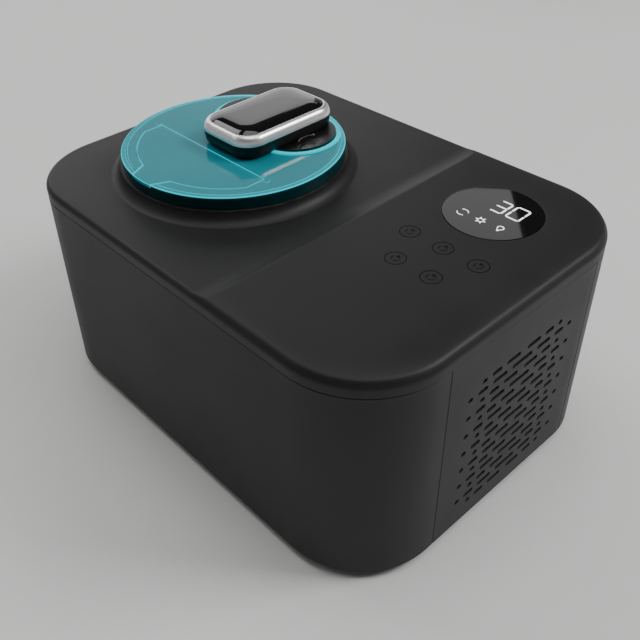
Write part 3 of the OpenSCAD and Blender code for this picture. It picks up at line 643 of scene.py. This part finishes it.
def bar(x0, y0, x1, y1, w):
    """A straight stroke with pointed ends, as one segment of a digit."""
    dx, dy = x1 - x0, y1 - y0
    n = math.hypot(dx, dy)
    dx, dy, px, py = dx / n, dy / n, -dy / n * w / 2, dx / n * w / 2
    k = w / 2
    return [(x0, y0), (x0 + dx * k - px, y0 + dy * k - py), (x1 - dx * k - px, y1 - dy * k - py), (x1, y1),
            (x1 - dx * k + px, y1 - dy * k + py), (x0 + dx * k + px, y0 + dy * k + py)]


def digit(x, y, w, h, lit, stroke=1.35, gap=0.25):
    """The lit segments, a to g, of a seven-segment digit."""
    m = y + h / 2
    places = {
        "a": (x + gap, y + h, x + w - gap, y + h), "b": (x + w, m + gap, x + w, y + h - gap),
        "c": (x + w, y + gap, x + w, m - gap), "d": (x + gap, y, x + w - gap, y),
        "e": (x, y + gap, x, m - gap), "f": (x, m + gap, x, y + h - gap), "g": (x + gap, m, x + w - gap, m)}
    return [bar(*places[s], stroke) for s in lit]


def arc(cx, cy, r, a0, a1, w, n=14):
    """A stroke of width w round a centre, from angle a0 to a1."""
    outer = [(cx + (r + w / 2) * math.cos(math.radians(a0 + (a1 - a0) * i / n)),
              cy + (r + w / 2) * math.sin(math.radians(a0 + (a1 - a0) * i / n))) for i in range(n + 1)]
    inner = [(cx + (r - w / 2) * math.cos(math.radians(a1 - (a1 - a0) * i / n)),
              cy + (r - w / 2) * math.sin(math.radians(a1 - (a1 - a0) * i / n))) for i in range(n + 1)]
    return outer + inner


DIGIT_Y, ICON_Y = 72, 55
TURN_X, TURN_R = 106, 4.1
SUN_X, SUN_R, RAY_R = 122, 2.2, 4.3
DROP_X, DROP_TIP, DROP_SIDE = 138.5, 51.4, 1.6
THIN, STROKE, RAY = 0.7, 0.8, 0.9
glow = digit(117.4, DIGIT_Y, 9.4, 16.2, "abgcd") + digit(131, DIGIT_Y, 10.8, 16.8, "abcdef")
glow += [arc(TURN_X, ICON_Y, TURN_R, a, a + 110, THIN) for a in (20, 200)]
for a in range(0, 360, 60):
    c, s = math.cos(math.radians(a)), math.sin(math.radians(a))
    glow.append(bar(SUN_X + c * SUN_R, ICON_Y + s * SUN_R, SUN_X + c * RAY_R, ICON_Y + s * RAY_R, RAY))
glow += [arc(SUN_X, ICON_Y, SUN_R, a, a + 119, STROKE) for a in (0, 120, 240)]
glow.append(arc(DROP_X, ICON_Y + 1.4, 2.3, -40, 220, STROKE))
glow += [bar(DROP_X + side, ICON_Y - 0.1, DROP_X, DROP_TIP, STROKE) for side in (-DROP_SIDE, DROP_SIDE)]
flat_marks("display_digits", glow, CONTROL + 0.06, "white_plastic", "glow_white")

TOUCH_R, INNER_R, QUARTER = 7.4, 3.0, 90.01
marks = []
for x, y in TOUCH:
    marks += [arc(x, y, TOUCH_R, a, a + QUARTER, 0.75, 24) for a in (0, 90, 180, 270)]
    marks += [arc(x, y, INNER_R, a, a + QUARTER, STROKE, 12) for a in (20, 150, 270)]
    marks.append(bar(x, y + 0.6, x, y + 4.6, RAY))
flat_marks("touch_marks", marks, CONTROL + 0.05, "window_gloss", "mark_print", thick=0.08)

# ---------------------------------------------------------------- lid and flap

# Plan points of the lid are measured from its middle. Names in _R, _H and _T are radii, heights and
# thicknesses.
LX, LY = BOWL
FLAP_R, FLAP_Y, FLAP_HALF = 78, -24, 66
TAB_Y, TAB_WIDE, TAB_NARROW, TAB_PAST = 74, 19, 10, 2
LOCK = (-75 - LX, 33 - LY, 25, 33)
PLATE_T = 2.5
FLAP_LAP = 4
LEDGE_UNDER = 2.2
FLAP_GAP, FLAP_BEVEL, FLAP_CHAMFER = 0.4, 0.9, 0.3
LOCK_GAP, LOCK_DEPTH, LOCK_RIM = 0.3, 2, 4.3
RIDGE_MID, RIDGE_HALF, RIDGE_H, RIDGE_ROUND = 2.3, 1.9, 1.4, 0.5
RING_R, RING_H, RING_HALF, RING_SLOPE = 86.6, 0.35, 1.05, 0.3
HINGE_X, HINGE_R, HINGE_H, HINGE_ROUND = 69.6, 2.6, 0.55, 0.4
HINGE_Y, HINGE_GAP, HINGE_DEPTH = FLAP_Y - 1.5, 1.9, 1.2
SPINDLE_R, SPINDLE_IN, SPINDLE_H = 9, 6, 6
SKIRT_IN, SKIRT_OUT = 84, 86.4
RIM_T, RIM_BEVEL = 2.5, 0.4


def flap_distance(x, y):
    """How far a point is outside the flap's outline, tab and all."""
    main = max(math.hypot(x, y) - FLAP_R, abs(x) - FLAP_HALF, y - FLAP_Y)
    slope = (TAB_WIDE - TAB_NARROW) / (LID_R + TAB_PAST - TAB_Y)
    side = (abs(x) - (TAB_WIDE + slope * (y + TAB_Y))) / math.hypot(1, slope)
    return min(main, max(side, y + TAB_Y))


def lock_distance(x, y):
    """How far a point is outside the recess of the drive unit."""
    return math.hypot(max(abs(x - LOCK[0]) - LOCK[2], 0), y - LOCK[1]) - LOCK[3]


def opening_distance(x, y):
    """How far a point is outside the filling opening under the flap."""
    return max(math.hypot(x, y) - (FLAP_R - FLAP_LAP), abs(x) - (FLAP_HALF - FLAP_LAP), y - FLAP_Y - FLAP_GAP)


def half_moon(r, half, n=72):
    """The round side of the flap or its opening, from left to right."""
    a = math.acos(half / r)
    turns = [-math.pi + a + (math.pi - 2 * a) * i / n for i in range(n + 1)]
    return [(r * math.cos(t), r * math.sin(t)) for t in turns]


def flap_loop(grow):
    half, top = FLAP_HALF + grow, FLAP_Y + grow
    return [(x, top) for x in between(half, -half, 6)] + half_moon(FLAP_R + grow, half)


def tab_loop(grow):
    return [(-TAB_WIDE - grow, -TAB_Y), (TAB_WIDE + grow, -TAB_Y),
            (TAB_NARROW + grow, -LID_R - TAB_PAST), (-TAB_NARROW - grow, -LID_R - TAB_PAST)]


def lock_loop(grow, n=48):
    out = []
    for side in (1, -1):
        for i in range(n + 1):
            a = math.radians(-90 + 180 * i / n + (0 if side > 0 else 180))
            out.append((LOCK[0] + side * LOCK[2] + (LOCK[3] + grow) * math.cos(a),
                        LOCK[1] + (LOCK[3] + grow) * math.sin(a)))
    return out


HINGES = [(side * HINGE_X, FLAP_Y - 1.0) for side in (1, -1)]


def groove_loop(half):
    """A line along the groove that the flap's hinge turns in."""
    x = FLAP_HALF + 0.35
    return [(-x, HINGE_Y - half), (x, HINGE_Y - half), (x, HINGE_Y + half), (-x, HINGE_Y + half)]


def lid_top(x, y):
    r = math.hypot(x, y)
    z = LID_TOP
    z += RING_H * min(1, max(0, RING_HALF - abs(r - RING_R)) / RING_SLOPE)
    d = flap_distance(x, y)
    if d < FLAP_GAP:
        z = LID_TOP - LEDGE_UNDER
    elif d < FLAP_BEVEL:
        z = min(z, LID_TOP - FLAP_CHAMFER * (1 - (d - FLAP_GAP) / (FLAP_BEVEL - FLAP_GAP)))
    if abs(x) < FLAP_HALF + FLAP_GAP and abs(y - HINGE_Y) < HINGE_GAP:
        z = min(z, LID_TOP - HINGE_DEPTH - math.sqrt(HINGE_GAP ** 2 - (y - HINGE_Y) ** 2))
    k = lock_distance(x, y)
    if k < LOCK_GAP:
        z = LID_TOP - LOCK_DEPTH
    else:
        z += step(RIDGE_HALF - abs(k - RIDGE_MID), RIDGE_H, 0, RIDGE_ROUND)
    if d > FLAP_GAP:
        for hx, hy in HINGES:
            z = max(z, LID_TOP + step(HINGE_R - math.hypot(x - hx, y - hy), HINGE_H, 0, HINGE_ROUND))
    if r > LID_R - 1:
        z -= 1 - math.sqrt(max(0, 1 - (r - LID_R + 1) ** 2))
    return (x + LX, y + LY, z)


def lid_bottom(x, y):
    r = math.hypot(x, y)
    z = LID_TOP - PLATE_T
    if flap_distance(x, y) < 3 or lock_distance(x, y) < 2.5:
        z -= LEDGE_UNDER
    if r < SPINDLE_R:
        z = LID_TOP - PLATE_T - SPINDLE_H
    if SKIRT_IN < r < SKIRT_OUT:
        z = COLLAR - LID_LIP
    if r > LID_R - RIM_T:
        z = COLLAR + max(0, RIM_BEVEL - (LID_R - r))
    return (x + LX, y + LY, z)


def lid_keep(x, y):
    r = math.hypot(x, y)
    return SPINDLE_IN < r < LID_R and opening_distance(x, y) > 0


lid_loops = [circle(0, 0, r, 160) for r in (
    6, 8.98, 9.02, 83.98, 84.02, 85.55, 85.85, 86.38, 86.42, 87.35, 87.65, 88.48, 88.52,
    LID_R - 1, LID_R - 0.8, LID_R - 0.5, LID_R - 0.2, LID_R - 0.05, LID_R)]
lid_loops += [flap_loop(g) for g in (0.39, 0.41, FLAP_BEVEL, 3)]
lid_loops += [tab_loop(g) for g in (0.39, 0.41, FLAP_BEVEL)]
lid_loops += [lock_loop(g) for g in (0.29, 0.31, 0.5, 0.9, 2.48, 2.52, 3.7, 4.1, 4.2, 4.25)]
half_open = FLAP_HALF - FLAP_LAP
lid_loops.append([(half_open, FLAP_Y + FLAP_GAP), (-half_open, FLAP_Y + FLAP_GAP)]
                 + half_moon(FLAP_R - FLAP_LAP, half_open))
lid_loops += [circle(hx, hy, r, 24) for hx, hy in HINGES for r in (2.2, 2.4, HINGE_R, 2.65)]
lid_loops += [groove_loop(half) for half in (0.5, 1.0, 1.4, 1.7, 1.86)]

# The lid's painted looks: painted glow on the edges and rim band, painted darkness on the outer wall
LID_PAINTED_LOOKS = ["clear_blue_painted_glow", "clear_blue_painted_dark_wall", "clear_blue_painted_glow_band"]
PLAIN, PAINTED_LIT, PAINTED_DARK_WALL, PAINTED_GLOW_BAND = range(4)
FLAT_UP, FACES_DOWN = 0.95, -0.5
BAND_W, SKIN = 4, 0.3


def pick_painted_glow_and_dark(c, n):
    """Picks the painted looks: a painted cyan glow on the clear plastic's edges and rim band, and painted
    darkness on its outer wall for the dark collar behind it.
    """
    x, y = c.x - LX, c.y - LY
    r = math.hypot(x, y)
    if c.z < LID_TOP - 1.3 and r > LID_R - SKIN:
        return PAINTED_DARK_WALL
    if n.z > FLAT_UP and c.z > LID_TOP - 0.8 and LID_R - BAND_W < r < LID_R - SKIN:
        return PAINTED_GLOW_BAND
    if LOCK_GAP < lock_distance(x, y) < LOCK_RIM and c.z > LID_TOP + 0.5:
        return PAINTED_LIT
    if -0.25 < flap_distance(x, y) < 0.5 and c.z > LID_TOP - 2.6 and n.z > FACES_DOWN:
        return PAINTED_LIT
    return PAINTED_LIT if FACES_DOWN < n.z < FLAT_UP and c.z > COLLAR + 6 else PLAIN


# The lid's edges, rim band and outer wall get the painted glow and painted darkness.
slab("lid_shell", lid_loops, [], lid_top, lid_bottom, lid_keep,
     "clear_blue", "lid", ["lid"], smooth=28, extra=LID_PAINTED_LOOKS, pick=pick_painted_glow_and_dark)


FLAP_FIT, FLAP_ROUND, FLAP_T = 0.2, 0.45, 2.1


def flap_top(x, y):
    d = -FLAP_FIT - flap_distance(x, y)
    z = LID_TOP - FLAP_ROUND
    z += FLAP_ROUND * math.sqrt(max(0, 1 - (1 - min(1, max(0, d) / FLAP_ROUND)) ** 2))
    r = math.hypot(x, y)
    if r > LID_R - 1:
        z -= 1 - math.sqrt(max(0, 1 - (r - LID_R + 1) ** 2))
    return (x + LX, y + LY, z)


flap_loops = [loop(g) for g in (-FLAP_FIT, -0.3, -0.45, -0.65) for loop in (flap_loop, tab_loop)]
flap_loops += [circle(0, 0, r, 160) for r in (LID_R - 1, LID_R - 0.5, LID_R - 0.1, LID_R)]
# The flap's edges get the same painted glow.
slab("flap_panel", flap_loops, [], flap_top, lambda x, y: (x + LX, y + LY, LID_TOP - FLAP_T),
     lambda x, y: flap_distance(x, y) < -FLAP_FIT and math.hypot(x, y) < LID_R,
     "clear_blue", "flap", ["flap"], smooth=28, extra=LID_PAINTED_LOOKS, pick=pick_painted_glow_and_dark)

# ---------------------------------------------------------------- drive unit

BW, BL = bezel_hi.x - bezel_lo.x, bezel_hi.y - bezel_lo.y
BX, BY = (bezel_hi.x + bezel_lo.x) / 2, (bezel_hi.y + bezel_lo.y) / 2
BR, BR_LEAST, BR_SHRINK, BR_SHARE = 18, 7, 0.72, 0.96
CORNER_STEPS, SIDE_STEPS = 24, 12
CORNERS = ((1, 1), (-1, 1), (-1, -1), (1, -1))


def ring_at(s, z):
    """The drive unit's outline moved in by s, at height z. Every ring has the same number of points."""
    hx, hy = BW / 2 - s, BL / 2 - s
    r = min(max(BR - s * BR_SHRINK, BR_LEAST), hx * BR_SHARE)
    out = []
    for k, (ax, ay) in enumerate(CORNERS):
        cx, cy = ax * (hx - r), ay * (hy - r)
        for i in range(CORNER_STEPS + 1):
            a = math.radians(90 * (k + i / CORNER_STEPS))
            out.append((BX + cx + r * math.cos(a), BY + cy + r * math.sin(a), z))
        nx, ny = CORNERS[(k + 1) % 4]
        a = math.radians(90 * (k + 1))
        x0, y0 = out[-1][:2]
        x1, y1 = BX + nx * (hx - r) + r * math.cos(a), BY + ny * (hy - r) + r * math.sin(a)
        out += [(x0 + (x1 - x0) * t / SIDE_STEPS, y0 + (y1 - y0) * t / SIDE_STEPS, z)
                for t in range(1, SIDE_STEPS)]
    return out


z0, z1 = bezel_lo.z, bezel_hi.z
BAND_IN, BAND_FOOT = 4.7, 0.2
band = [ring_at(2.2, z0 + 0.05), ring_at(0.5, z0 + 0.05)]
for t in range(0, 91, 6):
    c, s = math.cos(math.radians(t)), math.sin(math.radians(t))
    band.append(ring_at(BAND_IN * (1 - c), z0 + BAND_FOOT + (z1 - z0 - BAND_FOOT) * s))
band += [ring_at(BAND_IN + 0.2, z1 - 0.1), ring_at(BAND_IN + 0.2, z1 - 1), ring_at(3, z1 - 1.6)]
verts, faces = loft(band + [band[0]], caps=False)
make("bezel_band", verts, faces, "bezel_metal", "drive_unit", ["motor_bezel"], smooth=50)

rise = dome_hi.z - z1
edge = BAND_IN + 0.3
DOME_LIP, DOME_LIP_H = 0.3, 0.2
DOME_STEPS, DOME_CURVE = 20, 5.5
dome = [ring_at(s, z) for s, z in (
    (edge + 1.6, z1 - 1.2), (edge, z1 - 1.0), (edge, z1 - 0.15), (edge + 0.1, z1 + 0.05),
    (edge + DOME_LIP, z1 + DOME_LIP_H))]
for i in range(1, DOME_STEPS + 1):
    t = i / DOME_STEPS
    dome.append(ring_at(edge + DOME_LIP + t * (BW / 2 - edge - 0.8),
                        z1 + DOME_LIP_H + (rise - 0.22) * (1 - (1 - t) ** DOME_CURVE)))
verts, faces = loft(dome)
make("block_cover", verts, faces, "gloss_black", "drive_unit", ["motor_cover"], smooth=40)

TIP = (-27.7, 34)
arrow = [arc(-17, 25, 14, 140, 220, RAY), bar(*TIP, -30.4, 33.6, RAY), bar(*TIP, -27.8, 31.2, RAY)]
flat_marks("lock_arrow", arrow, plate_hi.z + 0.05, "black_plastic", "mark_brown",
           body="drive_unit", thick=0.08)

# ---------------------------------------------------------------- rounded edges on the CAD pieces that stay

WELD_M = 2e-6
BEVEL_ANGLE = 40
soft_edges = {
    "lock_plate": 0.6, "base_tray": 0.4, "feet": 0.8, "bowl": 0.25, "paddle": 0.5,
    "cord_gland": 0.6, "compressor": 0.6, "power_board": 0.25, "fan_frame": 0.4,
}
for name, o in NODES.items():
    if o.hide_render:
        continue
    weld = o.modifiers.new("weld", "WELD")
    weld.merge_threshold = WELD_M
    if name in soft_edges:
        b = o.modifiers.new("edge", "BEVEL")
        b.width = soft_edges[name] * MM
        b.segments = 2
        b.limit_method = "ANGLE"
        b.angle_limit = math.radians(BEVEL_ANGLE)

# ---------------------------------------------------------------- floor, light and camera

FLOOR_R, COVE_R, COVE_TOP = 3.8, 0.8, 2.2
CENTRE_R = 0.01
profile = [(CENTRE_R, 0), (FLOOR_R, 0)]
profile += [(FLOOR_R + COVE_R * math.sin(math.radians(t)), COVE_R * (1 - math.cos(math.radians(t))))
            for t in range(10, 91, 10)]
profile.append((FLOOR_R + COVE_R, COVE_TOP))
verts, faces = loft([[(x, y, z) for x, y in circle(0, 0, r, 96)] for r, z in profile])
floor = bpy.data.meshes.new("floor")
floor.from_pydata(verts, [], faces[:-1])
floor.materials.append(finish("floor_pale", (0.78, 0.78, 0.77), 0.55, tone=0.015, spots=1.5, grain=60,
                              bump=0.02))
floor.shade_smooth()
floor = bpy.data.objects.new("floor", floor)
bpy.context.scene.collection.objects.link(floor)

WORLD_STRENGTH = 0.06
world = bpy.data.worlds.new("studio")
world.use_nodes = True
world.node_tree.nodes["Background"].inputs["Color"].default_value = (1, 1, 1, 1)
world.node_tree.nodes["Background"].inputs["Strength"].default_value = WORLD_STRENGTH
bpy.context.scene.world = world


def softbox(name, at, aim, size, power, turn=0):
    """A rectangular light at a place, aimed at a point and turned about that line."""
    data = bpy.data.lights.new(name, "AREA")
    data.shape = "RECTANGLE"
    data.size, data.size_y = size
    data.energy = power
    o = bpy.data.objects.new(name, data)
    bpy.context.scene.collection.objects.link(o)
    o.location = at
    o.rotation_mode = "QUATERNION"
    o.rotation_quaternion = (Vector(aim) - Vector(at)).to_track_quat("-Z", "Y")
    o.rotation_quaternion @= Quaternion((0, 0, 1), math.radians(turn))


softbox("overhead", (0.2, 0.1, 2.7), (0, 0, 0), (2.2, 2.2), 32)
softbox("left", (-1.7, -0.3, 2.1), (0, 0, 0.1), (1.1, 1.0), 12)
softbox("key", (1.5, 1.5, 2.0), (0, 0, 0.1), (1.0, 1.0), 45)
softbox("front", (-1.5, -1.8, 1.8), (0, 0, 0.1), (0.95, 0.85), 4.5)
softbox("back", (-2.83, 1.26, 1.2), (0, 0, 0.2), (3.3, 1.9), 23)
softbox("window", (-1.22, 1.745, 1.5), (-1.22, 1.745, 0), (0.66, 0.52), 0.95, turn=40.4)

# The camera was fitted to the photo: lens and sensor in mm, place in metres, angles in degrees.
SENSOR, LENS, SHIFT = 36, 46.2565, 0.046875
EYE = (0.407886, -0.379158, 0.509594)
AZIMUTH, ELEVATION, ROLL = 48.885, 36.943, -2.1415
camera = bpy.data.cameras.new("camera")
camera.sensor_width = SENSOR
camera.lens = LENS
camera.shift_x, camera.shift_y = SHIFT, -SHIFT
eye = bpy.data.objects.new("camera", camera)
bpy.context.scene.collection.objects.link(eye)
bpy.context.scene.camera = eye
azimuth, elevation, roll = (math.radians(a) for a in (AZIMUTH, ELEVATION, ROLL))
back = Vector((math.sin(azimuth) * math.cos(elevation), -math.cos(azimuth) * math.cos(elevation),
               math.sin(elevation)))
right = (-back).cross(Vector((0, 0, 1))).normalized()
up = right.cross(-back)
right, up = (right * math.cos(roll) + up * math.sin(roll), up * math.cos(roll) - right * math.sin(roll))
place = Matrix((right, up, back)).transposed().to_4x4()
place.translation = Vector(EYE)
eye.matrix_world = place
